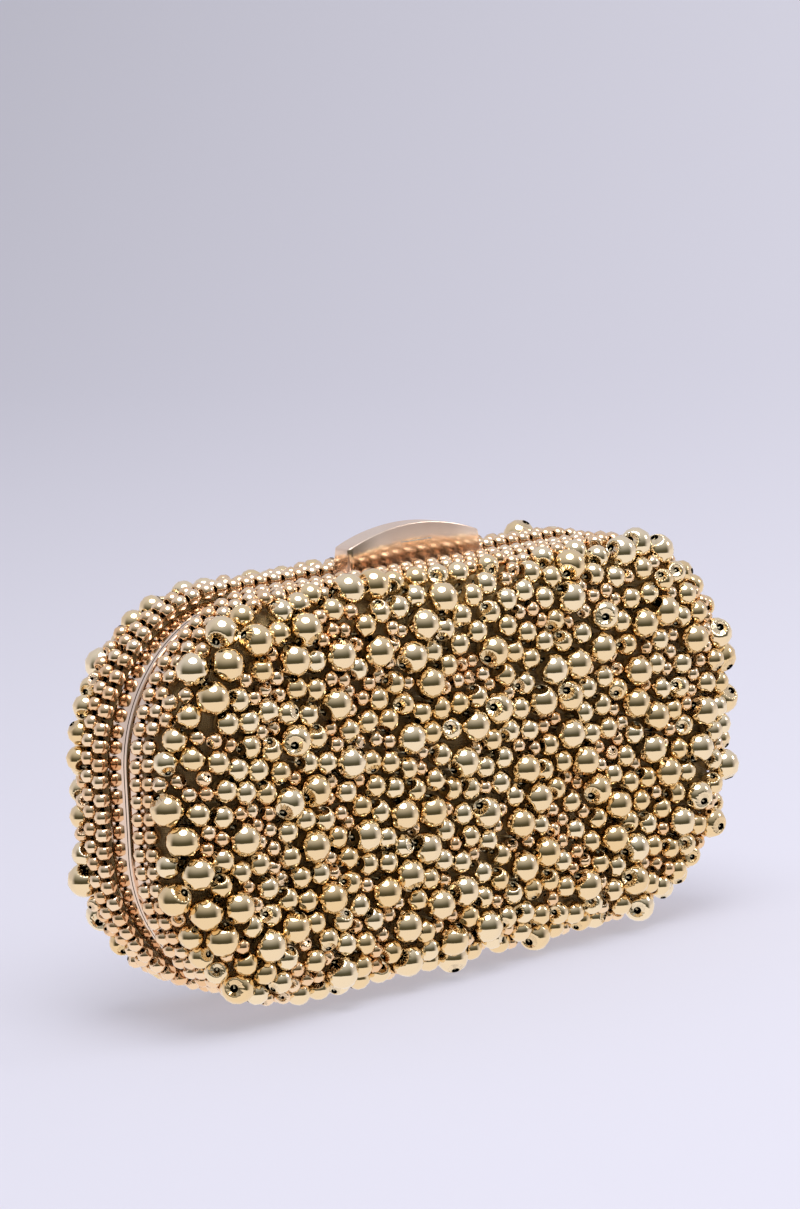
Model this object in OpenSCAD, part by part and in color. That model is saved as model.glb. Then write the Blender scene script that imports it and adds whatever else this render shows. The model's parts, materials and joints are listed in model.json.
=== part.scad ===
// Beaded box clutch: two rigid half shells in metal frames, hinged at the bottom and
// closed at the top by a tilting bar clasp. The front is -Y and the seam is the plane y = 0.
// A half is drawn as a tray: distances go outwards from the fabric, depths go from the seam.

/* [Case] */
// Width over the fabric
case_w = 175; // [140:1:220]
// Height over the fabric
case_h = 88; // [74:1:120]
// Depth of one half, from the seam to its flat face
half_depth = 18; // [16:0.5:26]
// Corner radius of the outline
corner_r = 35; // [24:1:36]
// Radius between a half's side wall and its flat face
edge_r = 9; // [7:0.5:12]
// Gap between the two halves at the seam
seam_gap = 0.3; // [0.3:0.1:1]

/* [Skins] */
// Thickness of the frame's sheet metal, and of the fabric that lies flush with it
sheet_t = 0.8; // [0.5:0.1:1.2]
// Thickness of the moulded half shell
shell_t = 1.2; // [0.8:0.1:2]
// Thickness of the card that carries the lining
board_t = 1; // [0.6:0.1:1.5]
// Thickness of the lining
lining_t = 0.5; // [0.3:0.1:0.8]

/* [Frame] */
// Width of one frame's outer band
band_w = 4.5; // [4:0.1:7]
// Width of the flange inside the case
inner_band_w = 3.5; // [2:0.1:6]
// Height of the raised lip along the seam
lip_h = 0.5; // [0.2:0.1:1]
// Width of the raised lip
lip_w = 0.7; // [0.4:0.1:1]

/* [Beads] */
// Height of the mixed bead field over the fabric
bead_layer = 7.5; // [5:0.5:10]
// Diameter of the small beads in the two rim rows
rim_bead_d = 4; // [3:0.5:5]
// Gap beside and under each rim row
rim_gap = 0.3; // [0.2:0.1:0.6]
// Height by which the lowest beads are flattened where the bag stands
foot_cut = 0.5; // [0.2:0.1:1]

/* [Hinges] */
// Distance of each hinge from the middle
hinge_x = 45; // [30:1:60]
// Length of one knuckle
knuckle_l = 4; // [3:0.5:8]
// Outer radius of a knuckle
knuckle_r = 1.6; // [1.3:0.1:1.8]
// Radius of the hinge pin
hinge_pin_r = 0.8; // [0.5:0.1:1]
// Thickness of a hinge leaf
leaf_t = 0.6; // [0.4:0.1:0.7]

/* [Clasp] */
// Length of the bar
bar_l = 42.5; // [34:0.5:60]
// Depth of the bar
bar_d = 8.4; // [8:0.1:10.1]
// Height of the bar's ends over the frame
bar_end_z = 8; // [7:0.5:12]
// Further height of the bar's crown
bar_rise = 4; // [1:0.5:6]
// Gap between the frame and the bar
bar_lift = 1.4; // [1.4:0.1:2]
// Radius of the bar's upright corners
bar_corner_r = 1.2; // [0.5:0.1:2]
// Wall of the hollow bar
bar_wall = 0.9; // [0.6:0.1:1]
// Radius of the clasp's pivot pin
pivot_r = 0.6; // [0.4:0.1:0.8]
// Length of the hook under the bar
hook_l = 10; // [6:1:14]
// Height of the catch over the frame
catch_h = 2.4; // [2:0.1:2.6]

/* [Hidden] */
$fn = 96;
over = 1; // overshoot of a cutting shape

// Clearances
run_gap = 0.05;     // radial, pin in bore
move_gap = 0.3;     // between parts that pass each other

// Outline and depths of one half
flat_w = case_w - 2 * corner_r;
flat_h = case_h - 2 * corner_r;
arc_y = half_depth - edge_r;            // where the side wall starts to turn
face_y = seam_gap / 2;                  // face of a frame at the seam
skin_y = face_y + sheet_t;              // where the skins meet the frame's web
shell_in = sheet_t + shell_t;
board_in = shell_in + board_t;
lining_in = board_in + lining_t;
frame_in = lining_in + sheet_t;

// How far outside the fabric's straight wall a skin at distance o lies, at depth y
function reach(o, y) = y <= arc_y ? o : sqrt(pow(edge_r + o, 2) - pow(y - arc_y, 2)) - edge_r;

// Rim rows and bead field
rim_r = rim_bead_d / 2;
rim_start = max(band_w, bar_d / 2 + rim_gap); // the rows clear the bar as well as the band
row1_y = rim_start + rim_gap + rim_r;
row2_y = row1_y + rim_bead_d + rim_gap / 3;
field_y = row2_y + rim_r + rim_gap;

// Heights over the surface that the bag stands on
case_bottom = reach(bead_layer, field_y) - foot_cut;
case_z = case_bottom + case_h / 2;
case_top = case_bottom + case_h;

// Hinge
hinge_z = case_bottom - lip_h - 0.4;    // axis, just outside the lips
notch_r = knuckle_r + move_gap;
leaf_w = band_w - move_gap;
hinge_l = 3 * knuckle_l + 2 * move_gap;

// Clasp
bar_bottom = case_top + bar_lift;
crown_r = (pow(bar_l / 2, 2) + pow(bar_rise, 2)) / (2 * bar_rise);
crown_z = case_top + bar_end_z + bar_rise - crown_r;
ear_r = 1.3;
ear_gap = 0.4;                          // between an ear's eye and the bar's back wall
pivot_y = bar_d / 2 - bar_wall - ear_r - ear_gap;
pivot_z = case_top + 2.6;
ear_t = 1.2;
ear_post_d = 1.7;                       // depth of an ear below its eye, clear of the tilting bar
ear_x = 13;
lug_x = ear_x + ear_t / 2 + move_gap;   // inner face of a bar lug
lug_t = 1.5;
base_t = 0.6;                           // base plates of bracket and catch
rivet_r = 0.5;
rivet_head_r = 0.9;
rivet_head_h = 0.3;
bracket_rivets = [-9, -4.5, 4.5, 9];    // places along the bracket
catch_x = 7.5;                          // rivets of the catch plate
catch_l = 19;
catch_t = 1;
hook_t = bar_wall;
hook_gap = 0.2;                         // between the hook and the catch's upright wall
catch_y = -(bar_d / 2 - bar_wall - hook_t - hook_gap - catch_t / 2); // middle of that wall
lip_cut_l = bar_l + 2;                  // the lips stop short of the clasp

// Spring
wire_d = 0.5;
coil_r = ear_r - wire_d / 2;
coil_turns = 5;
coil_pitch = 0.7;
coil_x = 6;
coil_steps = 12;                        // rings in one turn
wire_sides = 6;
leg_l = 1.4;

GOLD = "#d8bd86";
ROSE_GOLD = "#dfb489";
CHAMPAGNE = "#dcc9ba";
BEIGE = "#b99a72";

// ---- Tray shapes: plan in x and y, depth along z ----

// Carries a profile (distance from the corner's centre, depth) round the outline
module round_outline() {
    for (turn = [0, 180]) rotate([0, 0, turn]) {
        translate([flat_w / 2, flat_h / 2, 0]) rotate_extrude(angle = 90) children();
        translate([-flat_w / 2, flat_h / 2, 0]) rotate([0, 0, 90]) rotate_extrude(angle = 90) children();
        translate([flat_w / 2, flat_h / 2, 0]) rotate([90, 0, 0]) linear_extrude(flat_h) children();
        translate([-flat_w / 2, flat_h / 2, 0]) rotate([90, 0, 90]) linear_extrude(flat_w) children();
    }
}

// Profile of a solid tray whose surface is at distance o, from depth y
module tray_profile(o, y) {
    translate([0, y]) square([corner_r + o, arc_y - y]);
    translate([0, y]) square([corner_r - edge_r, half_depth + o - y]);
    intersection() {
        translate([corner_r - edge_r, arc_y]) circle(r = edge_r + o);
        translate([corner_r - edge_r, max(y, arc_y)]) square(edge_r + o + over);
    }
}

// Profile of a skin between distances outer and inner, from depth y
module skin_profile(outer, inner, y) {
    difference() {
        if (y < arc_y) tray_profile(outer, y);
        else intersection() {
            tray_profile(outer, 0);
            translate([0, y]) square(corner_r + half_depth + outer);
        }
        tray_profile(inner, -over);
    }
}

// A dished skin that covers the whole half
module skin(outer, inner, y) {
    round_outline() skin_profile(outer, inner, y);
    translate([-flat_w / 2, -flat_h / 2, half_depth + inner]) cube([flat_w, flat_h, outer - inner]);
}

// Strand of rim beads, as a plain round cord, at depth y
module rim_row(y) {
    seat = rim_r + rim_gap / 6;
    round_outline() translate([corner_r + reach(seat, y), y]) circle(r = rim_r);
}

// U-channel that holds the edges of the skins, with a small lip along the seam
module frame_ring() {
    round_outline() translate([corner_r, 0]) {
        translate([-sheet_t, face_y]) square([sheet_t, band_w - face_y]);
        translate([-frame_in, face_y]) square([frame_in, sheet_t]);
        translate([-frame_in, face_y]) square([sheet_t, inner_band_w - face_y]);
    }
    difference() {
        round_outline() translate([corner_r, face_y]) square([lip_h, lip_w]);
        translate([-lip_cut_l / 2, 0, -over]) cube([lip_cut_l, case_h, half_depth]);
        for (x = [-hinge_x, hinge_x])
            translate([x - hinge_l / 2 - move_gap, -case_h, -over])
                cube([hinge_l + 2 * move_gap, case_h, half_depth]);
    }
}

// ---- Placing ----

// Stands a tray up as the front half, its depth towards -Y
module as_front() { translate([0, 0, case_z]) rotate([90, 0, 0]) children(); }
// The same, as the back half
module as_back() { mirror([0, 1, 0]) as_front() children(); }
// A cylinder along X, from x
module along_x(x, length, radius) { translate([x, 0, 0]) rotate([0, 90, 0]) cylinder(h = length, r = radius); }

// Cuts everything below the surface that the bag stands on
module flat_foot() {
    difference() {
        children();
        translate([-case_w, -case_w, -case_w]) cube([2 * case_w, 2 * case_w, case_w]);
    }
}

// ---- Hinges ----

// Room for the knuckles in both frames
module hinge_notches() {
    for (x = [-hinge_x, hinge_x])
        translate([0, 0, hinge_z]) along_x(x - hinge_l / 2 - move_gap, hinge_l + 2 * move_gap, notch_r);
}

// Leaf and knuckles of one hinge, on the +Y side; slots says which of the three it has
module hinge_leaf(slots, bore_r) {
    difference() {
        union() {
            translate([-hinge_l / 2, notch_r, case_bottom - leaf_t]) cube([hinge_l, leaf_w - notch_r, leaf_t]);
            for (i = slots) translate([-hinge_l / 2 + i * (knuckle_l + move_gap), 0, 0]) {
                translate([0, 0, hinge_z]) along_x(0, knuckle_l, knuckle_r);
                translate([0, 0, case_bottom - leaf_t]) cube([knuckle_l, notch_r + move_gap, leaf_t]);
            }
        }
        translate([0, 0, hinge_z]) along_x(-hinge_l, 2 * hinge_l, bore_r);
    }
}

module hinge_leaves(slots, bore_r) { for (x = [-hinge_x, hinge_x]) translate([x, 0, 0]) hinge_leaf(slots, bore_r); }

// ---- Clasp ----

// Shape of the bar, shrunk by inset on every side but the bottom
module bar_shape(inset, bottom) {
    l = bar_l - 2 * inset;
    d = bar_d - 2 * inset;
    r = max(bar_corner_r - inset, 0.2);
    intersection() {
        translate([0, 0, bottom]) linear_extrude(bar_end_z + bar_rise + over) {
            square([l - 2 * r, d], center = true);
            square([l, d - 2 * r], center = true);
            for (x = [-1, 1], y = [-1, 1]) translate([x * (l / 2 - r), y * (d / 2 - r)]) circle(r = r);
        }
        translate([0, bar_d, crown_z]) rotate([90, 0, 0]) cylinder(h = 2 * bar_d, r = crown_r - inset, $fn = 360);
    }
}

// Rivet through a base plate and the frame's band, at x and y
module rivet(x, y) {
    translate([x, y, case_top - sheet_t]) cylinder(h = sheet_t + base_t, r = rivet_r);
    translate([x, y, case_top + base_t]) cylinder(h = rivet_head_h, r = rivet_head_r);
}
module rivet_hole(x, y) { translate([x, y, case_top - sheet_t - over]) cylinder(h = sheet_t + base_t + 2 * over, r = rivet_r); }

// Points round the wire at angle a of the coil
function wire_ring(a) = [for (s = [0 : wire_sides - 1])
    let (t = s * 360 / wire_sides, r = coil_r + cos(t) * wire_d / 2)
    [coil_x + coil_pitch * a / 360 + sin(t) * wire_d / 2, pivot_y + r * cos(a), pivot_z + r * sin(a)]];
// The straight leg: the last ring carried on along the coil's tangent
function shifted(ring, v) = [for (p = ring) p + v];
coil_rings = [for (k = [0 : coil_turns * coil_steps]) wire_ring(k * 360 / coil_steps)];
spring_rings = concat(
    [shifted(coil_rings[0], [0, 0, -leg_l / 2])], coil_rings,
    [shifted(coil_rings[len(coil_rings) - 1], [0, 0, leg_l])]);

// Closed tube through a list of rings
module ring_tube(rings) {
    n = len(rings[0]);
    last = (len(rings) - 1) * n;
    polyhedron(
        points = [for (ring = rings) each ring],
        faces = concat(
            [[for (s = [0 : n - 1]) s]],
            [for (k = [0 : len(rings) - 2], s = [0 : n - 1])
                [k * n + s, (k + 1) * n + s, (k + 1) * n + (s + 1) % n, k * n + (s + 1) % n]],
            [[for (s = [n - 1 : -1 : 0]) last + s]]));
}

// ---- Back half ----

module back_shell() { color("#5d4a38") as_back() skin(-sheet_t, -shell_in, skin_y); }
module back_fabric() { color(BEIGE) as_back() skin(0, -sheet_t, band_w); }
module back_board() { color("#8b7355") as_back() skin(-shell_in, -board_in, skin_y); }
module back_lining() { color("#c9b08a") as_back() skin(-board_in, -lining_in, skin_y); }
module back_rim_row_inner() { color(ROSE_GOLD) as_back() rim_row(row1_y); }
module back_rim_row_outer() { color(ROSE_GOLD) as_back() rim_row(row2_y); }
module back_bead_field() { color(GOLD) flat_foot() as_back() skin(bead_layer, 0, field_y); }
module back_frame() {
    color(CHAMPAGNE) difference() {
        as_back() frame_ring();
        hinge_notches();
        for (x = bracket_rivets) rivet_hole(x, pivot_y);
    }
}
module back_hinge_knuckles() { color(CHAMPAGNE) hinge_leaves([0, 2], hinge_pin_r); }
module hinge_pins() {
    color("silver") for (x = [-hinge_x, hinge_x])
        translate([0, 0, hinge_z]) along_x(x - hinge_l / 2, hinge_l, hinge_pin_r);
}
module clasp_bracket() {
    width = 2 * ear_r;
    color(CHAMPAGNE) difference() {
        union() {
            translate([-ear_x, pivot_y - ear_r, case_top]) cube([2 * ear_x, width, base_t]);
            for (x = [-ear_x, ear_x]) translate([x - ear_t / 2, 0, 0]) {
                translate([0, pivot_y - ear_r, case_top]) cube([ear_t, ear_post_d, pivot_z - case_top]);
                translate([0, pivot_y, pivot_z]) along_x(0, ear_t, ear_r);
            }
        }
        translate([0, pivot_y, pivot_z]) along_x(-bar_l, 2 * bar_l, pivot_r);
        for (x = bracket_rivets) rivet_hole(x, pivot_y);
    }
}
module clasp_rivets() { color("silver") for (x = bracket_rivets) rivet(x, pivot_y); }
module clasp_pivot_pin() {
    reach_x = lug_x + lug_t + move_gap;
    color("silver") translate([0, pivot_y, pivot_z]) along_x(-reach_x, 2 * reach_x, pivot_r);
}
module clasp_spring() { color("silver") ring_tube(spring_rings); }

// ---- Front half ----

module front_shell() { color("#5d4a38") as_front() skin(-sheet_t, -shell_in, skin_y); }
module front_fabric() { color(BEIGE) as_front() skin(0, -sheet_t, band_w); }
module front_board() { color("#8b7355") as_front() skin(-shell_in, -board_in, skin_y); }
module front_lining() { color("#c9b08a") as_front() skin(-board_in, -lining_in, skin_y); }
module front_rim_row_inner() { color(ROSE_GOLD) as_front() rim_row(row1_y); }
module front_rim_row_outer() { color(ROSE_GOLD) as_front() rim_row(row2_y); }
module front_bead_field() { color(GOLD) flat_foot() as_front() skin(bead_layer, 0, field_y); }
module front_frame() {
    color(CHAMPAGNE) difference() {
        as_front() frame_ring();
        hinge_notches();
        for (x = [-catch_x, catch_x]) rivet_hole(x, catch_y);
    }
}
module front_hinge_knuckles() {
    color(CHAMPAGNE) mirror([0, 1, 0]) hinge_leaves([1], hinge_pin_r + run_gap);
}
module catch_plate() {
    near = face_y + move_gap;
    depth = min(bar_d / 2, band_w) - 2 * near;
    color(CHAMPAGNE) difference() {
        union() {
            translate([-catch_l / 2, -near - depth, case_top]) cube([catch_l, depth, base_t]);
            translate([-hook_l / 2, catch_y - catch_t / 2, case_top]) cube([hook_l, catch_t, catch_h]);
        }
        for (x = [-catch_x, catch_x]) rivet_hole(x, catch_y);
    }
}
module catch_rivets() { color("silver") for (x = [-catch_x, catch_x]) rivet(x, catch_y); }

// ---- Clasp lever ----

module clasp_bar() {
    back_y = bar_d / 2 - bar_wall;
    color(CHAMPAGNE) {
        difference() {
            bar_shape(0, bar_bottom);
            bar_shape(bar_wall, bar_bottom - over);
        }
        difference() {
            for (side = [-1, 1])
                translate([side * (lug_x + lug_t / 2) - lug_t / 2, pivot_y - ear_r, pivot_z - ear_r / 1.3])
                    cube([lug_t, back_y - pivot_y + ear_r + bar_wall / 2, case_top + bar_end_z - pivot_z + ear_r]);
            translate([0, pivot_y, pivot_z]) along_x(-bar_l, 2 * bar_l, pivot_r + run_gap);
        }
    }
}
module clasp_hook() {
    color("silver") translate([-hook_l / 2, -bar_d / 2 + bar_wall, bar_bottom])
        cube([hook_l, hook_t, bar_end_z - bar_lift]);
}

back_shell();
back_fabric();
back_frame();
back_rim_row_inner();
back_rim_row_outer();
back_bead_field();
back_board();
back_lining();
back_hinge_knuckles();
hinge_pins();
clasp_bracket();
clasp_rivets();
clasp_pivot_pin();
clasp_spring();
front_shell();
front_fabric();
front_frame();
front_rim_row_inner();
front_rim_row_outer();
front_bead_field();
front_board();
front_lining();
front_hinge_knuckles();
catch_plate();
catch_rivets();
clasp_bar();
clasp_hook();
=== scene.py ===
# %% [markdown]
# # A beaded box clutch
# The bag is a hard case in two halves. Each half is a moulded dish, covered with beige fabric and sewn all over
# with plated plastic beads of 8, 6 and 4 mm. A polished metal frame holds the rim, with two strung rows of 4 mm
# beads along it. An arched bar on top is the clasp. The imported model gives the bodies, the joints and the places,
# and this script gives each piece its finished form and material.

# %% Load the frame
import json
import math

import bpy
import numpy as np
from mathutils import Matrix, Vector


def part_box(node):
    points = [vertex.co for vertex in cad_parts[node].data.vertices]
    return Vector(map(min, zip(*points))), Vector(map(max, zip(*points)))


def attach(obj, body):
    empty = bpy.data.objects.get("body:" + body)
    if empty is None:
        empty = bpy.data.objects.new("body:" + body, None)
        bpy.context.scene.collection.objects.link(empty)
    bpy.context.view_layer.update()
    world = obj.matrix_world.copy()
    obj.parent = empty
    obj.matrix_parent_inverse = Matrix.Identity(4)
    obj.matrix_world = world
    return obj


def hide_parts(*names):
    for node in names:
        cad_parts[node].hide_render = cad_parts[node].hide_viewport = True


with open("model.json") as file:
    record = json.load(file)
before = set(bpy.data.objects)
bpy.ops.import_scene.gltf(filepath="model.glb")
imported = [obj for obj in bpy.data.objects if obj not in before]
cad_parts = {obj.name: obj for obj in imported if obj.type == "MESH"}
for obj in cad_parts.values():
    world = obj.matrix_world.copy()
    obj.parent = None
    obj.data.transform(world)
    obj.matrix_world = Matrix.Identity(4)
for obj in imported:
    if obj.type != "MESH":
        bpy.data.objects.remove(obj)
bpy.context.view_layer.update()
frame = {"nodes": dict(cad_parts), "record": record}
MM = 0.001

# %% [markdown]
# ## The form of one half
# Both halves have one form, a tray. In plan it is a rectangle with round corners, and its side wall turns into
# the flat face through a quarter circle. Depth is counted from the seam, outwards. Because the corner radius less
# the edge radius is the same for every skin, each layer is simply the fabric's surface moved in or out.

# %% Sizes of the tray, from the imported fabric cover
low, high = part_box("back_fabric")
case_w, case_h = high.x - low.x, high.z - low.z
case_z = (high.z + low.z) / 2
half_depth, band_w = high.y, low.y
corner_r, edge_r = 35 * MM, 9 * MM
flat_w, flat_h = case_w - 2 * corner_r, case_h - 2 * corner_r
arc_d = half_depth - edge_r
print(f"case {case_w / MM:.1f} x {case_h / MM:.1f} mm, half depth {half_depth / MM:.1f} mm")


def place(points, half):
    """Tray coordinates (across, up, depth) to the row frame: the front half's depth runs to -Y, the back's to +Y."""
    points = np.asarray(points, float)
    side = -1 if half == "front" else 1
    return np.stack([points[..., 0], side * points[..., 2], points[..., 1] + case_z], axis=-1)


def outline(n_long=30, n_short=8, n_arc=14):
    """Core point and outward direction for each step round the plan: along a side the core point slides and the
    direction stays, round a corner the core point stays and the direction turns through a quarter."""
    core, out = [], []
    corners = [(1, 1), (-1, 1), (-1, -1), (1, -1)]
    for k, (sx, sy) in enumerate(corners):
        turn = np.linspace(k * np.pi / 2, (k + 1) * np.pi / 2, n_arc)
        core.append(np.tile([sx * flat_w / 2, sy * flat_h / 2], (n_arc, 1)))
        out.append(np.stack([np.cos(turn), np.sin(turn)], axis=1))
        nx, ny = corners[(k + 1) % 4]
        n = n_long if sy == ny else n_short
        t = np.linspace(0, 1, n + 2)[1:-1, None]
        core.append((1 - t) * core[-1][-1] + t * np.array([nx * flat_w / 2, ny * flat_h / 2]))
        out.append(np.tile(out[-1][-1], (n, 1)))
    return np.concatenate(core), np.concatenate(out)


def tray_profile(offset, start, n_wall=3, n_arc=9):
    """(distance from the core, depth) of the skin at an offset from the fabric: straight up the wall, then a
    quarter circle of the edge radius plus the offset, about the same centre for every offset."""
    wall = np.stack([np.full(n_wall, corner_r + offset), np.linspace(start, arc_d, n_wall)], axis=1)
    a = np.linspace(0, np.pi / 2, n_arc)[1:]
    r = edge_r + offset
    arc = np.stack([corner_r - edge_r + r * np.cos(a), arc_d + r * np.sin(a)], axis=1)
    return np.concatenate([wall, arc])


def seat(points, lift, lowest):
    """Moves points onto the tray's surface, lifted off it: the nearest core point plus the outward unit vector
    times the edge radius and the lift. lowest is the least depth. Gives the new points and the unit normals."""
    plan, depth = points[:, :2], points[:, 2]
    half = np.array([flat_w, flat_h]) / 2
    core = np.clip(plan, -half, half)
    v = plan - core
    rho = np.linalg.norm(v, axis=1)
    out = np.where(rho[:, None] > 1e-9, v / np.maximum(rho, 1e-9)[:, None], [1.0, 0.0])
    q_rho = np.minimum(rho, corner_r - edge_r)
    w = np.stack([rho - q_rho, np.maximum(depth - arc_d, 0)], axis=1)
    angle = np.arctan2(w[:, 1], w[:, 0])
    reach = edge_r + lift
    least = np.arcsin(np.clip((lowest - arc_d) / reach, -1, 1))
    angle = np.where(w[:, 0] > 1e-9, np.maximum(angle, least), np.pi / 2)
    new_rho = q_rho + reach * np.cos(angle)
    moved = np.concatenate([core + out * new_rho[:, None], (arc_d + reach * np.sin(angle))[:, None]], axis=1)
    normal = np.concatenate([out * np.cos(angle)[:, None], np.sin(angle)[:, None]], axis=1)
    return moved, normal


# %% [markdown]
# ## Small tools
# Colours are written as sRGB hex and turned to linear once. A material is a few nodes, and one function adds a
# node with its settings and links. A mesh is made from whole arrays.

# %% Colour, node and mesh helpers
def linear(hex_colour):
    """sRGB hex to linear RGBA: each channel through the sRGB curve."""
    c = np.array([int(hex_colour[i:i + 2], 16) for i in (1, 3, 5)]) / 255
    c = np.where(c <= 0.04045, c / 12.92, ((c + 0.055) / 1.055) ** 2.4)
    return (*[float(v) for v in c], 1.0)


def add(material, kind, links=None, **settings):
    """Adds a node. settings are its properties or, where it has no such property, its input sockets."""
    tree = material.node_tree
    node = tree.nodes.new(kind)
    for name, value in settings.items():
        if hasattr(node, name):
            setattr(node, name, value)
        else:
            node.inputs[name.replace("_", " ")].default_value = value
    for name, socket in (links or {}).items():
        tree.links.new(socket, node.inputs[name])
    return node


def new_material(name):
    """An empty material and its output node."""
    m = bpy.data.materials.new(name)
    m.use_nodes = True
    m.node_tree.nodes.clear()
    return m, m.node_tree.nodes.new("ShaderNodeOutputMaterial")


def unevenness(m, coordinates, scale, low, high, detail=2.0):
    """How an uneven surface varies from place to place: noise, spread from low to high."""
    noise = add(m, "ShaderNodeTexNoise", {"Vector": coordinates}, Scale=scale, Detail=detail)
    spread = add(m, "ShaderNodeMapRange", {"Value": noise.outputs["Fac"]})
    noise_low, noise_high = 0.35, 0.65  # where nearly all of the noise lies
    for socket, value in zip(("From Min", "From Max", "To Min", "To Max"), (noise_low, noise_high, low, high)):
        spread.inputs[socket].default_value = value
    return spread.outputs["Result"]


def surface(name, pale, deep, grain, roughness, bump, metallic=0.0, **settings):
    """A material in two close tones. grain is the size of its unevenness in metres, bump its height; roughness is
    a pair, and both follow the grain. Metals keep the default IOR."""
    m, out = new_material(name)
    at = add(m, "ShaderNodeTexCoord").outputs["Object"]
    colour = add(m, "ShaderNodeMix", {"Factor": unevenness(m, at, 0.2 / grain, 0, 1)}, data_type="RGBA")
    colour.inputs[6].default_value, colour.inputs[7].default_value = linear(pale), linear(deep)
    relief = add(m, "ShaderNodeBump", {"Height": unevenness(m, at, 1 / grain, 0, 1)}, Strength=1.0, Distance=bump)
    shader = add(m, "ShaderNodeBsdfPrincipled",
                 {"Base Color": colour.outputs[2], "Roughness": unevenness(m, at, 0.5 / grain, *roughness, 4.0),
                  "Normal": relief.outputs["Normal"]}, Metallic=metallic, **settings)
    return finish_material(m, out, shader)


def finish_material(m, out, shader):
    """Links the shader to the output and gives back the material."""
    m.node_tree.links.new(shader.outputs[0], out.inputs["Surface"])
    return m


def mesh_object(name, verts, faces, smooth=True):
    """A mesh object at the origin from arrays of points and faces."""
    mesh = bpy.data.meshes.new(name)
    mesh.from_pydata(np.asarray(verts, float).tolist(), [], [list(map(int, f)) for f in faces])
    mesh.validate()
    mesh.update()
    if smooth:
        mesh.shade_smooth()
    o = bpy.data.objects.new(name, mesh)
    bpy.context.scene.collection.objects.link(o)
    return o


def grid_faces(rows, cols, close_cols=True, flip=False):
    """Quads of a grid of rows x cols points; close_cols joins the last column to the first."""
    r, c = np.meshgrid(np.arange(rows - 1), np.arange(cols if close_cols else cols - 1), indexing="ij")
    a, b = r * cols + c, r * cols + (c + 1) % cols
    quads = np.stack([a, b, b + cols, a + cols], axis=-1).reshape(-1, 4)
    return quads[:, ::-1] if flip else quads


# %% [markdown]
# ## Camera
# A long lens, about 110 mm, looks down at the bag a little from its left. The camera stands well back, so the bag
# is seen almost without perspective.

# %% Camera
LENS, VIEW_YAW, VIEW_TILT, VIEW_ROLL, VIEW_DISTANCE = 112.4, -42.2, 10.6, -2.4, 0.9
SHIFT = (-0.01348, 0.12357)  # of the lens, sideways and up, in shares of the picture's long side
yaw, tilt, roll = (math.radians(a) for a in (VIEW_YAW, VIEW_TILT, VIEW_ROLL))
back = Vector((math.sin(yaw) * math.cos(tilt), -math.cos(yaw) * math.cos(tilt), math.sin(tilt)))
right = (-back).cross(Vector((0, 0, 1))).normalized()
up = right.cross(-back)
right, up = right * math.cos(roll) + up * math.sin(roll), up * math.cos(roll) - right * math.sin(roll)
camera = bpy.data.objects.new("camera", bpy.data.cameras.new("camera"))
bpy.context.scene.collection.objects.link(camera)
bead_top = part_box("back_bead_field")[1].z
camera.matrix_world = Matrix.Translation(back * VIEW_DISTANCE + Vector((0, 0, bead_top / 2))) @ Matrix(
    (right, up, back)).transposed().to_4x4()
camera.data.lens = LENS
camera.data.shift_x, camera.data.shift_y = SHIFT
camera.data.clip_start = 0.01
bpy.context.scene.camera = camera
print(f"camera: {LENS} mm lens, {VIEW_DISTANCE} m from the bag, looking down {VIEW_TILT} degrees")

# %% [markdown]
# ## Light
# Plating has no colour to show unless it has something to reflect. A large round lamp overhead gives each bead its
# white spot. The room is dark only behind the camera, which gives the line across the middle of each bead, and pale
# below, which fills its lower half. A picture of a real room could light it too, but ramps over the direction can be
# set one by one.

# %% Lamps and room
scene = bpy.context.scene
scene.view_settings.view_transform = "Standard"


def soft_box(name, place_at, aim_at, size, power):
    """A round area light that faces a point."""
    light = bpy.data.lights.new(name, "AREA")
    light.shape, light.size, light.energy = "DISK", size, power
    o = bpy.data.objects.new(name, light)
    o.location = place_at
    o.rotation_euler = (Vector(aim_at) - Vector(place_at)).to_track_quat("-Z", "Y").to_euler()
    scene.collection.objects.link(o)
    print(f"{name}: {size} m across, {power} W")


soft_box("top_box", (-0.2, -0.3, 1.2), (0, 0, 0.05), 0.95, 10)
soft_box("side_box", (1.3, -0.8, 0.9), (0, 0, 0.05), 0.5, 3)

world = bpy.data.worlds.new("studio")
scene.world = world
world.use_nodes = True
world.node_tree.nodes.clear()
world_out = add(world, "ShaderNodeOutputWorld")
direction = add(world, "ShaderNodeTexCoord")
height = add(world, "ShaderNodeSeparateXYZ", {"Vector": direction.outputs["Generated"]})


def sky(stops):
    """A colour ramp over the height of the direction, z = -1 straight down to z = 1 straight up."""
    place_z = add(world, "ShaderNodeMapRange", {"Value": height.outputs["Z"]})
    place_z.inputs["From Min"].default_value = -1.0
    ramp = add(world, "ShaderNodeValToRGB", {"Fac": place_z.outputs["Result"]})
    elements = ramp.color_ramp.elements
    at, colours = zip(*(((z + 1) / 2, linear(colour)) for z, colour in stops))
    elements[0].position, elements[0].color = at[0], colours[0]
    elements[1].position, elements[1].color = at[-1], colours[-1]
    for position, colour in list(zip(at, colours))[1:-1]:
        elements.new(position).color = colour
    return ramp.outputs["Color"]


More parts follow.
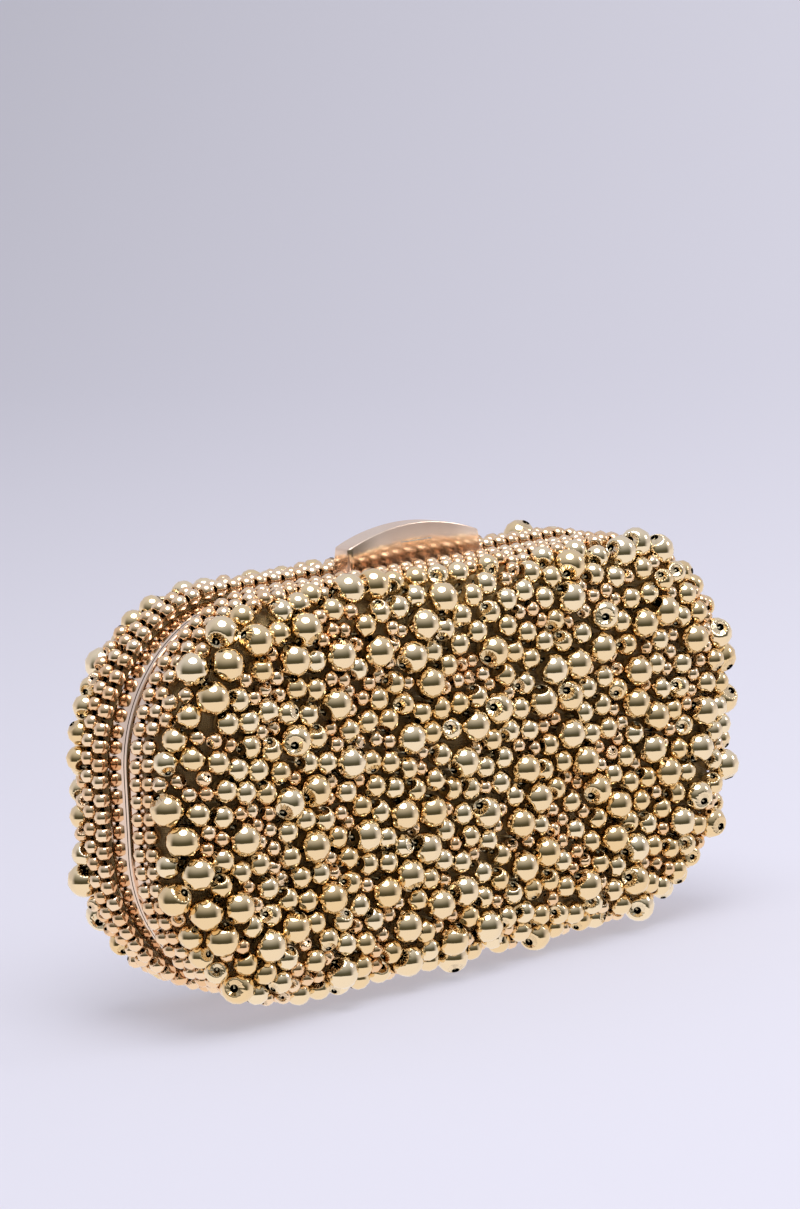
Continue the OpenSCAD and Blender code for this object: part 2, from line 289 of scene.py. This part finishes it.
# Heights are sines of the angle above the horizon. Behind the camera the pale floor ends 16 to 18 degrees below it.
studio_side = sky([(-1.0, "#fdf6f2"), (-0.31, "#fdf6f2"), (-0.27, "#4e4b39"), (0.0, "#545242"), (0.2, "#74736a"),
                   (0.45, "#a3a29c"), (0.7, "#c8c8c8"), (1.0, "#e2e2e6")])
paper_side = sky([(-1.0, "#fdf6f2"), (-0.1, "#f4eeee"), (0.05, "#dcd6d8"), (0.4, "#d4d1d6"), (1.0, "#e2e2e6")])
towards = add(world, "ShaderNodeVectorMath", {0: direction.outputs["Generated"]}, operation="DOT_PRODUCT")
towards.inputs[1].default_value = (-back.x, -back.y, 0)
SIDE_SHARE = 0.42  # how much the room's two sides belong to its pale part
PALE_FROM, PALE_FULL = -0.1, 0.55  # where the dark part ends and the pale part is complete
sideways = add(world, "ShaderNodeVectorMath", {0: direction.outputs["Generated"]}, operation="DOT_PRODUCT")
sideways.inputs[1].default_value = (right.x, right.y, 0)
either = add(world, "ShaderNodeMath", {0: sideways.outputs["Value"]}, operation="ABSOLUTE")
turned = add(world, "ShaderNodeMath", {0: either.outputs[0], 2: towards.outputs["Value"]}, operation="MULTIPLY_ADD")
turned.inputs[1].default_value = SIDE_SHARE
side = add(world, "ShaderNodeMapRange", {"Value": turned.outputs[0]}, interpolation_type="SMOOTHSTEP")
side.inputs["From Min"].default_value, side.inputs["From Max"].default_value = PALE_FROM, PALE_FULL
around = add(world, "ShaderNodeMix", {"Factor": side.outputs["Result"], 6: studio_side, 7: paper_side},
             data_type="RGBA")
room = add(world, "ShaderNodeBackground", {"Color": around.outputs[2]}, Strength=1.0)
backdrop = add(world, "ShaderNodeBackground", Color=linear("#cfceda"), Strength=1.0)
seen = add(world, "ShaderNodeLightPath")
both = add(world, "ShaderNodeMixShader", {"Fac": seen.outputs["Is Camera Ray"]})
world.node_tree.links.new(room.outputs[0], both.inputs[1])
world.node_tree.links.new(backdrop.outputs[0], both.inputs[2])
world.node_tree.links.new(both.outputs[0], world_out.inputs["Surface"])

# %% [markdown]
# ## Paper backdrop
# The camera sees a sheet of matt paper that lies flat under the bag and sweeps up behind it, so there is no edge
# where floor and wall meet. It glows a little, more to the right than to the left and less higher up: painted light
# that stands in for an unevenly lit sheet.

# %% Paper backdrop
# Painted light: the paper's glow rises from left to right and falls off with height.
GLOW_REACH, GLOW_LEFT, GLOW_RIGHT, GLOW_FALL = 0.5, 0.42, 0.78, -0.1
paper, paper_out = new_material("studio_paper")
paper_at = add(paper, "ShaderNodeTexCoord")
across = add(paper, "ShaderNodeVectorMath", {0: paper_at.outputs["Object"]}, operation="DOT_PRODUCT")
across.inputs[1].default_value = (right.x, right.y, GLOW_FALL)
glow = add(paper, "ShaderNodeMapRange", {"Value": across.outputs["Value"]})
glow.inputs["From Min"].default_value, glow.inputs["From Max"].default_value = -GLOW_REACH, GLOW_REACH
glow.inputs["To Min"].default_value, glow.inputs["To Max"].default_value = GLOW_LEFT, GLOW_RIGHT
paper_shader = add(paper, "ShaderNodeBsdfPrincipled", {"Emission Strength": glow.outputs["Result"]}, Roughness=0.9,
                   Base_Color=linear("#a3a2ad"), Specular_IOR_Level=0.0, Emission_Color=linear("#cdccd8"))
finish_material(paper, paper_out, paper_shader)

FLAT_FRONT, FLAT_BACK, SWEEP, WALL_TOP, SIDE = 4.0, 1.6, 1.4, 4.0, 5.0
away = Vector((-back.x, -back.y, 0)).normalized()
sweep_turn = np.linspace(0, np.pi / 2, 24)
paper_line = [(-FLAT_FRONT, 0)] + [(FLAT_BACK + SWEEP * math.sin(a), SWEEP * (1 - math.cos(a))) for a in sweep_turn]
paper_line.append((FLAT_BACK + SWEEP, WALL_TOP))
sideward = away.cross(Vector((0, 0, 1)))
paper_points = [away * u + sideward * v + Vector((0, 0, z)) for u, z in paper_line for v in (-SIDE, SIDE)]
floor = mesh_object("floor", paper_points, grid_faces(len(paper_line), 2, close_cols=False, flip=True))
floor.data.materials.append(paper)
floor.visible_glossy = False  # in reflections the world's lower half stands for the floor and where it ends
print("paper:", len(floor.data.polygons), "faces")

# %% [markdown]
# ## Plated beads
# The beads are moulded plastic under a thin bright plating, so they are mirrors with a pale gold tint. No two are
# alike: each bead carries a random number that shifts its colour between pale and deep gold. The bore shows the
# raw cream plastic.

# %% Bead materials
WEAR_GRAIN = MM / 0.9  # size of a worn patch
PEEL_GRAIN, PEEL_HEIGHT = MM / 0.42, 0.4 * MM  # slow waves in the plating, at a twentieth of this height


def plating(name, pale, deep, roughness):
    """Polished plating on moulded plastic: a metal whose tint follows the bead's own number."""
    m, out = new_material(name)
    tint = add(m, "ShaderNodeAttribute", attribute_name="tint")
    colour = add(m, "ShaderNodeMix", {"Factor": tint.outputs["Fac"]}, data_type="RGBA")
    colour.inputs[6].default_value, colour.inputs[7].default_value = linear(pale), linear(deep)
    place_at = add(m, "ShaderNodeTexCoord")
    wear = add(m, "ShaderNodeTexNoise", {"Vector": place_at.outputs["Object"]}, Scale=1 / WEAR_GRAIN, Detail=3.0)
    rough = add(m, "ShaderNodeMapRange", {"Value": wear.outputs["Fac"]})
    rough.inputs["From Min"].default_value, rough.inputs["From Max"].default_value = 0.35, 0.75
    rough.inputs["To Min"].default_value, rough.inputs["To Max"].default_value = roughness, roughness * 2.2
    peel = add(m, "ShaderNodeTexNoise", {"Vector": place_at.outputs["Object"]}, Scale=1 / PEEL_GRAIN, Detail=1.0)
    bump = add(m, "ShaderNodeBump", {"Height": peel.outputs["Fac"]}, Strength=0.05, Distance=PEEL_HEIGHT)
    shader = add(m, "ShaderNodeBsdfPrincipled", {"Base Color": colour.outputs[2], "Roughness": rough.outputs[0],
                                                  "Normal": bump.outputs[0]}, Metallic=1.0)
    return finish_material(m, out, shader)


# Vacuum-plated plastic: a near mirror, so the eye sees the room in each bead, tinted pale gold.
gold_plate = plating("gold_plated_plastic", "#f6e6c8", "#efd3a4", 0.045)
# The same plating with more copper, for the small beads: warmer and a little less sharp.
rose_plate = plating("rose_gold_plated_plastic", "#f8e0c2", "#f0c9a0", 0.06)
# Moulded cream plastic without plating, seen only inside a bore, where it looks soft and dull.
raw_plastic = surface("raw_cream_plastic", "#d9c294", "#a98a4e", 0.3 * MM, (0.35, 0.55), 0.00001)

# %% [markdown]
# A bead is a lathe shape: a ball with a bore through it. It is repeated hundreds of times, so the one shape has only
# a few dozen faces, and exact normals make it look round. The copies are worked out as one array.

# %% The bead shape and its copies
def bead_shape(segments, bands, bore):
    """Unit ball with a bore of the given share of its radius: rings of a circle from one bore edge to the other,
    then the bore's wall. Gives points, quads, and a normal for each corner of each quad."""
    polar = np.linspace(math.asin(bore), math.pi - math.asin(bore), bands + 1)
    around = np.arange(segments) * 2 * np.pi / segments
    p, a = np.meshgrid(polar, around, indexing="ij")
    points = np.stack([np.sin(p) * np.cos(a), np.sin(p) * np.sin(a), np.cos(p)], axis=-1).reshape(-1, 3)
    skin = grid_faces(bands + 1, segments, flip=True)
    last = bands * segments + np.arange(segments)
    first = np.arange(segments)
    wall = np.stack([last, first, np.roll(first, -1), np.roll(last, -1)], axis=1)[:, ::-1]
    quads = np.concatenate([skin, wall])
    normals = points[quads]
    inward = points[quads[len(skin):]] * [-1, -1, 0]
    normals[len(skin):] = inward / np.linalg.norm(inward, axis=2, keepdims=True)
    return points, quads, normals, np.arange(len(quads)) >= len(skin)


def frames_along(axes):
    """A rotation for each axis, whose third column is the axis."""
    z = axes / np.linalg.norm(axes, axis=1, keepdims=True)
    helper = np.where(np.abs(z[:, 2:3]) < 0.9, [0.0, 0.0, 1.0], [1.0, 0.0, 0.0])
    x = np.cross(helper, z)
    x /= np.linalg.norm(x, axis=1, keepdims=True)
    return np.stack([x, np.cross(z, x), z], axis=2)


def bead_copies(name, shape, centres, radii, axes, tints, materials):
    """Copies of a bead shape joined in one mesh: each point is the centre plus the turned unit shape times the
    radius."""
    points, quads, normals, in_bore = shape
    turn = frames_along(axes)
    verts = centres[:, None] + radii[:, None, None] * np.einsum("nij,pj->npi", turn, points)
    faces = (quads[None] + (np.arange(len(centres)) * len(points))[:, None, None]).reshape(-1, 4)
    o = mesh_object(name, verts.reshape(-1, 3), faces)
    corner_normals = np.einsum("nij,fcj->nfci", turn, normals).reshape(-1, 3)
    o.data.normals_split_custom_set(corner_normals.tolist())
    number = o.data.attributes.new("tint", "FLOAT", "POINT")
    number.data.foreach_set("value", np.repeat(tints, len(points)).astype(np.float32))
    for m in materials:
        o.data.materials.append(m)
    o.data.polygons.foreach_set("material_index", np.tile(in_bore.astype(np.int32), len(centres)))
    return o


LARGE, MEDIUM, SMALL = 4 * MM, 3 * MM, 2 * MM
BORE, SEED_BORE = 0.24, 0.2  # share of the bead's radius
bead_form = bead_shape(14, 5, BORE)
seed_form = bead_shape(12, 4, SEED_BORE)
print("faces on a bead:", len(bead_form[1]), "and on a small one:", len(seed_form[1]))

# %% [markdown]
# ## Strung rim rows
# Two rows of 4 mm beads are strung on thread and laid along each frame. They are spaced evenly round the outline,
# each bored along the string, with the small unevenness of hand work. An array along a curve would space them too
# evenly, so their places are worked out.

# %% Rim rows
rim_boxes = [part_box(f"back_rim_row_{label}") for label in ("inner", "outer")]
rim_rows = [(least.y + most.y) / 2 for least, most in rim_boxes]
RIM_PITCH, RIM_CLEAR = 4.02 * MM, 0.05 * MM
AT_ODDS, DEPTH_ODDS, TURN_ODDS = 0.04, 0.12 * MM, 0.06 * MM  # unevenness of hand work
rng = {"front": np.random.default_rng(11), "back": np.random.default_rng(23)}


def path_length(points):
    """Length along a closed path up to each point, and round to the first again."""
    steps = np.linalg.norm(np.roll(points, -1, axis=0) - points, axis=1)
    return np.concatenate([[0], np.cumsum(steps)])


def rim_centres(depth, random):
    """Centres and string directions of one row: the outline at the beads' height, cut into equal pitches."""
    core, out = outline(n_long=60, n_short=16, n_arc=40)
    lift = SMALL + RIM_CLEAR
    reach = lift if depth <= arc_d else math.sqrt((edge_r + lift) ** 2 - (depth - arc_d) ** 2) - edge_r
    path = core + out * (corner_r + reach)
    along = path_length(path)
    count = round(along[-1] / RIM_PITCH)
    at = (np.arange(count) + random.uniform(-AT_ODDS, AT_ODDS, count) + random.uniform()) % count * along[-1] / count
    closed = np.concatenate([path, path[:1]])
    plan = np.stack([np.interp(at, along, closed[:, k]) for k in (0, 1)], axis=1)
    ahead = np.stack([np.interp((at + MM) % along[-1], along, closed[:, k]) for k in (0, 1)], axis=1)
    depths = depth + random.normal(0, DEPTH_ODDS, count)
    direction = np.concatenate([ahead - plan, random.normal(0, TURN_ODDS, (count, 1))], axis=1)
    return np.concatenate([plan, depths[:, None]], axis=1), direction


print("rim rows at depths in mm:", [round(depth / MM, 2) for depth in rim_rows])

# %% [markdown]
# ## The mixed field
# The field is sewn bead by bead. Real beads can't pass through each other, so the layout starts at random and the
# beads push each other apart along the surface until they only touch, as beads do when they are sewn close. A
# physics drop could settle them too, but the pushes are quick and give the same layout every time.

# %% Field layout
FIELD = {"large": (96, LARGE), "medium": (258, MEDIUM), "small": (205, SMALL)}
PUSHES, SPREAD_PUSHES = 220, 150
SPREAD = 1.08  # how much wider the beads keep apart while they spread out evenly
TOUCH, PUSH_SHARE = 0.985, 0.45  # beads that touch press together a little; each push takes under half an overlap
SEED_RISE, EDGE_ROOM, RIM_ROOM, TIP_SPREAD = 1.6 * MM, 2 * MM, 0.75, 25


def field_layout(rim, random):
    """Seats of the mixed beads on one half: random starts, then pushes. Each push moves a pair apart along their
    line by a share of their overlap, and the bead is seated on the surface again."""
    radii = np.concatenate([np.full(n, r) for n, r in FIELD.values()])
    lift = radii + np.where(radii == SMALL, random.uniform(0, SEED_RISE, len(radii)), 0)
    plan = random.uniform(-1, 1, (len(radii), 2)) * [case_w / 2 + EDGE_ROOM, case_h / 2 + EDGE_ROOM]
    points = np.concatenate([plan, random.uniform(arc_d, half_depth, (len(radii), 1))], axis=1)
    lowest = rim_rows[1] + RIM_ROOM * (radii + SMALL)
    points, normals = seat(points, lift, lowest)
    for step in range(PUSHES):
        slack = SPREAD if step < SPREAD_PUSHES else TOUCH
        others = np.concatenate([points, rim])
        other_r = np.concatenate([radii, np.full(len(rim), SMALL)])
        apart = points[:, None] - others[None]
        distance = np.linalg.norm(apart, axis=2) + 1e-9
        overlap = np.maximum(slack * (radii[:, None] + other_r[None]) - distance, 0)
        overlap[np.arange(len(radii)), np.arange(len(radii))] = 0
        points = points + PUSH_SHARE * (apart / distance[..., None] * overlap[..., None]).sum(1)
        points, normals = seat(points, lift, lowest)
    print(f"  {len(radii)} beads, deepest overlap left {overlap.max() / MM:.2f} mm")
    return points, normals, radii


def field_axes(normals, random):
    """Bore directions: mostly along the surface, turned at random, some tipped up towards the eye."""
    turn = frames_along(normals)
    a = random.uniform(0, 2 * np.pi, len(normals))
    tip = np.radians(np.abs(random.normal(0, TIP_SPREAD, len(normals))))
    local = np.stack([np.cos(a) * np.cos(tip), np.sin(a) * np.cos(tip), np.sin(tip)], axis=1)
    return np.einsum("nij,nj->ni", turn, local)


# %% [markdown]
# ## Thread
# Each large and medium bead is held by thread that leaves its bore at both ends and goes down into the cloth. The
# thread is so thin that rods with six sides are enough, where bevelled curves would be heavier.

# %% Stitches
THREAD_R, THREAD_SIDES, SUNK = 0.22 * MM, 6, -0.2 * MM
# Spun polyester: matt and pale, with soft small fibres that take the shine off.
thread = surface("polyester_thread", "#efe3bf", "#d6c391", 0.4 * MM, (0.4, 0.6), 0.00004)


def stitches(half, centres, radii, axes):
    """Sewing thread from both mouths of each bore down to the fabric: thin six-sided rods in one mesh."""
    ends, feet = [], []
    for side in (-1, 1):
        mouth = centres + side * axes * (0.9 * radii)[:, None]
        spot, _ = seat(mouth + side * axes * (0.1 * radii)[:, None], np.full(len(radii), SUNK),
                       np.full(len(radii), rim_rows[1]))
        ends.append(mouth)
        feet.append(spot)
    ends, feet = np.concatenate(ends), np.concatenate(feet)
    turn = np.arange(THREAD_SIDES) * 2 * np.pi / THREAD_SIDES
    frames = frames_along(feet - ends)
    ring = np.einsum("nij,sj->nsi", frames, np.stack([np.cos(turn), np.sin(turn), 0 * turn], axis=1)) * THREAD_R
    verts = np.concatenate([ends[:, None] + ring, feet[:, None] + ring], axis=1).reshape(-1, 3)
    one = grid_faces(2, THREAD_SIDES).tolist()
    one += [list(range(THREAD_SIDES))[::-1], list(range(THREAD_SIDES, 2 * THREAD_SIDES))]
    turned = -1 if half == "back" else 1
    faces = [[2 * THREAD_SIDES * k + i for i in face[::turned]] for k in range(len(ends)) for face in one]
    o = mesh_object(f"{half}_stitches", place(verts, half), faces)
    o.data.materials.append(thread)
    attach(o, f"{half}_half")


# %% [markdown]
# The rim rows come first on each half, because the field has to make room for them.

# %% All beads in place
for half in ("front", "back"):
    random = rng[half]
    rows = [rim_centres(depth, random) for depth in rim_rows]
    for label, (centres, direction) in zip(("inner", "outer"), rows):
        o = bead_copies(f"{half}_rim_{label}_seeds", seed_form, place(centres, half), np.full(len(centres), SMALL),
                        place(direction, half) - place(np.zeros(3), half), random.uniform(0, 1, len(centres)),
                        [rose_plate, raw_plastic])
        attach(o, f"{half}_half")
        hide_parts(f"{half}_rim_row_{label}")
    centres, normals, radii = field_layout(np.concatenate([c for c, _ in rows]), random)
    axes = field_axes(normals, random)
    tints = random.uniform(0, 1, len(radii))
    for label, form, chosen, plate in (("field_beads", bead_form, radii > SMALL, gold_plate),
                                       ("field_seeds", seed_form, radii == SMALL, rose_plate)):
        o = bead_copies(f"{half}_{label}", form, place(centres[chosen], half), radii[chosen],
                        place(axes[chosen], half) - place(np.zeros(3), half), tints[chosen], [plate, raw_plastic])
        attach(o, f"{half}_half")
        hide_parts(f"{half}_bead_field")
    sewn = radii > SMALL
    stitches(half, centres[sewn], radii[sewn], axes[sewn])

# %% [markdown]
# ## Fabric and lining
# Both are cloth drawn tight over a dish. Each is a set of rings carried round the outline and closed over the flat
# face. A cloth simulation isn't needed, because cloth held tight on a hard form has no folds. Every point keeps the
# place it had on the flat cloth, so the weave runs on without a break.

# %% Cloth
def cloth(half, label, offset, start, thick, material, replaces):
    """A dished sheet: the tray's profile carried round the outline, then rings that shrink to the middle. The
    place on the flat cloth is the core point plus the outward direction times the length along the profile."""
    core, out = outline()
    profile = tray_profile(offset, start)
    length = np.concatenate([[0], np.cumsum(np.linalg.norm(np.diff(profile, axis=0), axis=1))])
    length = profile[-1, 0] + length[-1] - length
    rings = [np.concatenate([core + out * rho, np.full((len(core), 1), depth)], axis=1) for rho, depth in profile]
    flats = [core + out * reach for reach in length]
    edge = rings[-1]
    for share in (0.75, 0.5, 0.25):  # rings on the flat face, towards the pole
        rings.append(edge * [share, share, 1])
        flats.append(flats[len(profile) - 1] * share)
    n = len(core)
    verts = np.concatenate(rings + [[[0, 0, edge[0, 2]]]])
    flat = np.concatenate(flats + [[[0, 0]]])
    faces = grid_faces(len(rings), n).tolist()
    faces += [[(len(rings) - 1) * n + i, (len(rings) - 1) * n + (i + 1) % n, len(rings) * n] for i in range(n)]
    if half == "back":
        faces = [f[::-1] for f in faces]
    o = mesh_object(f"{half}_{label}", place(verts, half), faces)
    spot = o.data.attributes.new("cloth", "FLOAT_VECTOR", "POINT")
    spot.data.foreach_set("vector", np.insert(flat, 2, 0, axis=1).ravel().astype(np.float32))
    wall = o.modifiers.new("thickness", "SOLIDIFY")
    wall.thickness, wall.offset = thick, -1
    o.data.materials.append(material)
    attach(o, f"{half}_half")
    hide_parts(f"{half}_{replaces}")


# %% [markdown]
# Both cloths are plain weaves. The linen is coarse and matt. The satin is fine, so it is drawn a little coarser than
# it is, and it keeps a soft shine along its threads.

# %% Weave and sheets
def weave(name, pale, deep, pitch, height, roughness, **settings):
    """Plain weave: threads along and across, each a wave of the given pitch, with the higher one on top."""
    m, out = new_material(name)
    spot = add(m, "ShaderNodeAttribute", attribute_name="cloth").outputs["Vector"]
    waves = [add(m, "ShaderNodeTexWave", {"Vector": spot}, bands_direction=axis, Scale=math.pi / 10 / pitch,
                 Distortion=0.4).outputs["Fac"] for axis in ("X", "Y")]
    cell = add(m, "ShaderNodeMath", {0: waves[0], 1: waves[1]}, operation="MAXIMUM")
    colour = add(m, "ShaderNodeMix", {"Factor": cell.outputs["Value"]}, data_type="RGBA")
    colour.inputs[6].default_value, colour.inputs[7].default_value = linear(deep), linear(pale)
    slub = add(m, "ShaderNodeMix", {"Factor": unevenness(m, spot, 1 / SLUB, 0.0, 0.5), 6: colour.outputs[2]},
               data_type="RGBA")
    slub.inputs[7].default_value = linear(deep)
    relief = add(m, "ShaderNodeBump", {"Height": cell.outputs["Value"]}, Strength=1.0, Distance=height)
    shader = add(m, "ShaderNodeBsdfPrincipled", {"Base Color": slub.outputs[2], "Normal": relief.outputs["Normal"]},
                 Roughness=roughness, **settings)
    return finish_material(m, out, shader)


SLUB = MM / 0.3  # length of a thick place in a thread
RIM_SEAT = rim_rows[0] - 0.4 * MM  # the band ends and the cloth begins under the first row of beads
FRAME_T, SHELL_T, BOARD_T, LINING_T, SEAM = 0.8 * MM, 1.2 * MM, 1 * MM, 0.5 * MM, 0.15 * MM
# Coarse beige linen: matt, with each thread just visible between the beads.
linen = weave("woven_beige_linen", "#c9ae7c", "#94794a", 0.45 * MM, 0.0001, 0.85, Sheen_Weight=0.2)
# Polyester satin: its real threads are near 0.1 mm apart, drawn at 0.16 mm so that they show.
satin = weave("woven_satin", "#cdb489", "#bb9f70", 0.16 * MM, 0.00002, 0.32, Sheen_Weight=0.4, Anisotropic=0.6)
for half in ("front", "back"):
    cloth(half, "linen_cover", 0, RIM_SEAT, FRAME_T, linen, "fabric")
    cloth(half, "satin_lining", -(FRAME_T + SHELL_T + BOARD_T), SEAM + FRAME_T, LINING_T, satin, "lining")

# %% [markdown]
# ## Frame bands
# The polished band of each frame is a strip bent round the outline, from the lip at the seam to the middle of the
# first row of beads, so the beads mirror in it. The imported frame's own band ends before that row, so a thin strip is
# laid over it and carried further.

# %% Frame bands
BAND_PROUD, BAND_T, HINGE_DEPTH, LIP_W = 0.04 * MM, 0.2 * MM, 2.6 * MM, 0.75 * MM
# Brass, mirror polished and plated pale: a near mirror that warms what it reflects.
champagne = surface("champagne_plated_brass", "#f1ddcd", "#ecd4c1", 2.5 * MM, (0.05, 0.09), 0.000002, 1.0)
hinge_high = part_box("back_hinge_knuckles")[1]
HINGE_X = 45 * MM  # distance of each hinge from the middle
HINGE_HALF = hinge_high.x - HINGE_X + 0.5 * MM
for half in ("front", "back"):
    core, out = outline()
    depths = np.linspace(SEAM + LIP_W, RIM_SEAT, 9)
    verts = np.concatenate([np.insert(core + out * (corner_r + BAND_PROUD), 2, d, axis=1) for d in depths])
    faces = grid_faces(len(depths), len(core))
    middles = place(verts, half)[faces].mean(axis=1)
    at_hinge = (np.abs(np.abs(middles[:, 0]) - HINGE_X) < HINGE_HALF) & (middles[:, 2] < case_z - case_h / 2 + MM)
    faces = faces[~(at_hinge & (np.abs(middles[:, 1]) < HINGE_DEPTH))]
    if half == "back":
        faces = faces[:, ::-1]
    band = mesh_object(f"{half}_frame_band", place(verts, half), faces)
    skin = band.modifiers.new("thickness", "SOLIDIFY")
    skin.thickness, skin.offset = BAND_T, -1
    band.data.materials.append(champagne)
    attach(band, f"{half}_half")
    print(f"{band.name}: {(RIM_SEAT - SEAM - LIP_W) / MM:.2f} mm wide")

# %% [markdown]
# ## Clasp bar
# The bar is a drawn brass cap, polished and plated. Its sides lean in, are flat in the middle and curve in a little
# near the ends. A fine bevel along the arched top catches a bright line. It is a stack of rings of one plan, closed
# over the top, and Solidify gives it a wall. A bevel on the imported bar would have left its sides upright.

# %% Clasp bar
# The same plated brass with a softer polish, so what it mirrors is blurred.
satin_champagne = surface("satin_polished_champagne_brass", "#f1ddcd", "#ead0be", 2.5 * MM, (0.2, 0.26), 0.000001,
                          1.0)
bar_low, bar_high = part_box("clasp_bar")
bar_l, bar_d = bar_high.x - bar_low.x, bar_high.y - bar_low.y
case_top = case_z + case_h / 2
BAR_LIFT, BAR_RISE, BAR_WALL, CORNER, EDGE, TAPER = 1.4 * MM, 4 * MM, 0.9 * MM, 1.2 * MM, 0.3 * MM, 0.6 * MM
DRAFT = math.tan(math.radians(8))  # how far the sides lean in
FLAT_SHARE = 0.6  # of the half length, where the sides stay flat
crown_r = ((bar_l / 2) ** 2 + BAR_RISE ** 2) / (2 * BAR_RISE)


def bar_top(x):
    """Height of the arched top: a circle through the crown and both ends."""
    return bar_high.z - crown_r + np.sqrt(crown_r ** 2 - x ** 2)


def bar_side(inset):
    """Front edge of the plan, from end to end, shrunk by an inset: y = -(d / 2 - taper * t^2), where t grows from 0
    to 1 over the last part of the length, with a round corner at each end."""
    a = np.linspace(np.pi, 1.5 * np.pi, 7)
    x_end, y_end = bar_l / 2 - CORNER, bar_d / 2 - TAPER - CORNER
    r = CORNER - inset
    corner = np.stack([-x_end + r * np.cos(a), -y_end + r * np.sin(a)], axis=1)
    x = np.linspace(-x_end, x_end, 42)[1:-1]
    t = np.clip((np.abs(x) / x_end - FLAT_SHARE) / (1 - FLAT_SHARE), 0, 1)
    middle = np.stack([x, -(bar_d / 2 - TAPER * t ** 2 - inset)], axis=1)
    return np.concatenate([corner, middle, corner[::-1] * [-1, 1]])


def bar_ring(inset, drop):
    """Closed ring: the front edge and its mirror image, at a drop below the arched top or, if None, at the foot."""
    front = bar_side(inset)
    ring = np.concatenate([front, front[::-1] * [1, -1]])
    foot = case_top + BAR_LIFT
    z = np.full(len(ring), foot) if drop is None else bar_top(ring[:, 0]) - drop
    lean = DRAFT * (z - foot)[:, None]
    ring = ring * (1 - lean / np.array([bar_l, bar_d / 2]))
    return np.concatenate([ring, z[:, None]], axis=1)


round_edge = np.radians([0, 30, 60, 90])
rings = [bar_ring(0, None), bar_ring(0, EDGE + 0.2 * MM)]
rings += [bar_ring(EDGE * (1 - math.cos(a)), EDGE * (1 - math.sin(a))) for a in round_edge]
rings.append(bar_ring(EDGE + 0.15 * MM, 0))
ring_n = len(rings[0])
bar_faces = grid_faces(len(rings), ring_n).tolist()
top = (len(rings) - 1) * ring_n
bar_faces += [[top + i, top + i + 1, top + ring_n - 2 - i, top + ring_n - 1 - i] for i in range(ring_n // 2 - 1)]
bar = mesh_object("clasp_bar_cap", np.concatenate(rings), bar_faces)
bar_wall = bar.modifiers.new("wall", "SOLIDIFY")
bar_wall.thickness, bar_wall.offset = BAR_WALL, -1
bar.data.materials.append(satin_champagne)
print(f"clasp bar: {bar_l / MM:.1f} mm long, {bar_d / MM:.1f} mm deep at its foot")

# %% [markdown]
# Two lugs under the bar turn on the pivot pin. Each is a flat plate with a round end about the pin.

# %% Clasp lugs
PIVOT_Y, PIVOT_UP, EAR_R, LUG_X, LUG_T = 1.6 * MM, 2.6 * MM, 1.3 * MM, 13.9 * MM, 1.5 * MM
lug_turn = np.linspace(np.pi, 2 * np.pi, 13)
LUG_TOP = case_top + 7.2 * MM
lug_round = np.stack([PIVOT_Y + EAR_R * np.cos(lug_turn), case_top + PIVOT_UP + EAR_R * np.sin(lug_turn)], axis=1)
lug_side = np.concatenate([lug_round, [[PIVOT_Y + EAR_R, LUG_TOP], [PIVOT_Y - EAR_R, LUG_TOP]]])
for label, x in (("left", -LUG_X - LUG_T), ("right", LUG_X)):
    n = len(lug_side)
    verts = np.concatenate([np.insert(lug_side, 0, x, axis=1), np.insert(lug_side, 0, x + LUG_T, axis=1)])
    faces = [list(range(n)), list(range(n, 2 * n))[::-1]] + grid_faces(2, n).tolist()
    lug = mesh_object(f"clasp_lug_{label}", verts, faces, smooth=False)
    lug.data.materials.append(champagne)
    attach(lug, "clasp")
    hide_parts("clasp_bar")
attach(bar, "clasp")
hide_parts("clasp_bar")
print("clasp lugs:", len(lug_side), "points round each")

# %% [markdown]
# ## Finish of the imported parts
# The frames, hinges, pins, rivets, spring, shells and cards keep their exact CAD form and only take a material.

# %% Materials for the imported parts
# Nickel-plated steel, barrelled rather than polished: bright, with blurred reflections.
steel = surface("nickel_plated_steel", "#d5d1ca", "#bdb8ae", 1.5 * MM, (0.16, 0.3), 0.000004, 1.0)
# Injection-moulded ABS with a fine texture: dark and half matt.
shell_plastic = surface("moulded_brown_plastic", "#5f4c39", "#54432f", 0.8 * MM, (0.4, 0.6), 0.00003)
# Pressed card: matt, with short fibres.
card = surface("pressed_card", "#94805e", "#7f6b4c", 0.5 * MM, (0.8, 0.95), 0.00005)
finishes = {"frame_metal": champagne, "pin_steel": steel, "shell_plastic": shell_plastic, "lining_card": card}
slots = {part["node"]: part["material_slot"] for part in frame["record"]["subparts"]}
for name, node in frame["nodes"].items():
    node.data.materials.clear()
    node.data.materials.append(finishes.get(slots[name], linen))
print("packed parts with a finish:", len(frame["nodes"]))
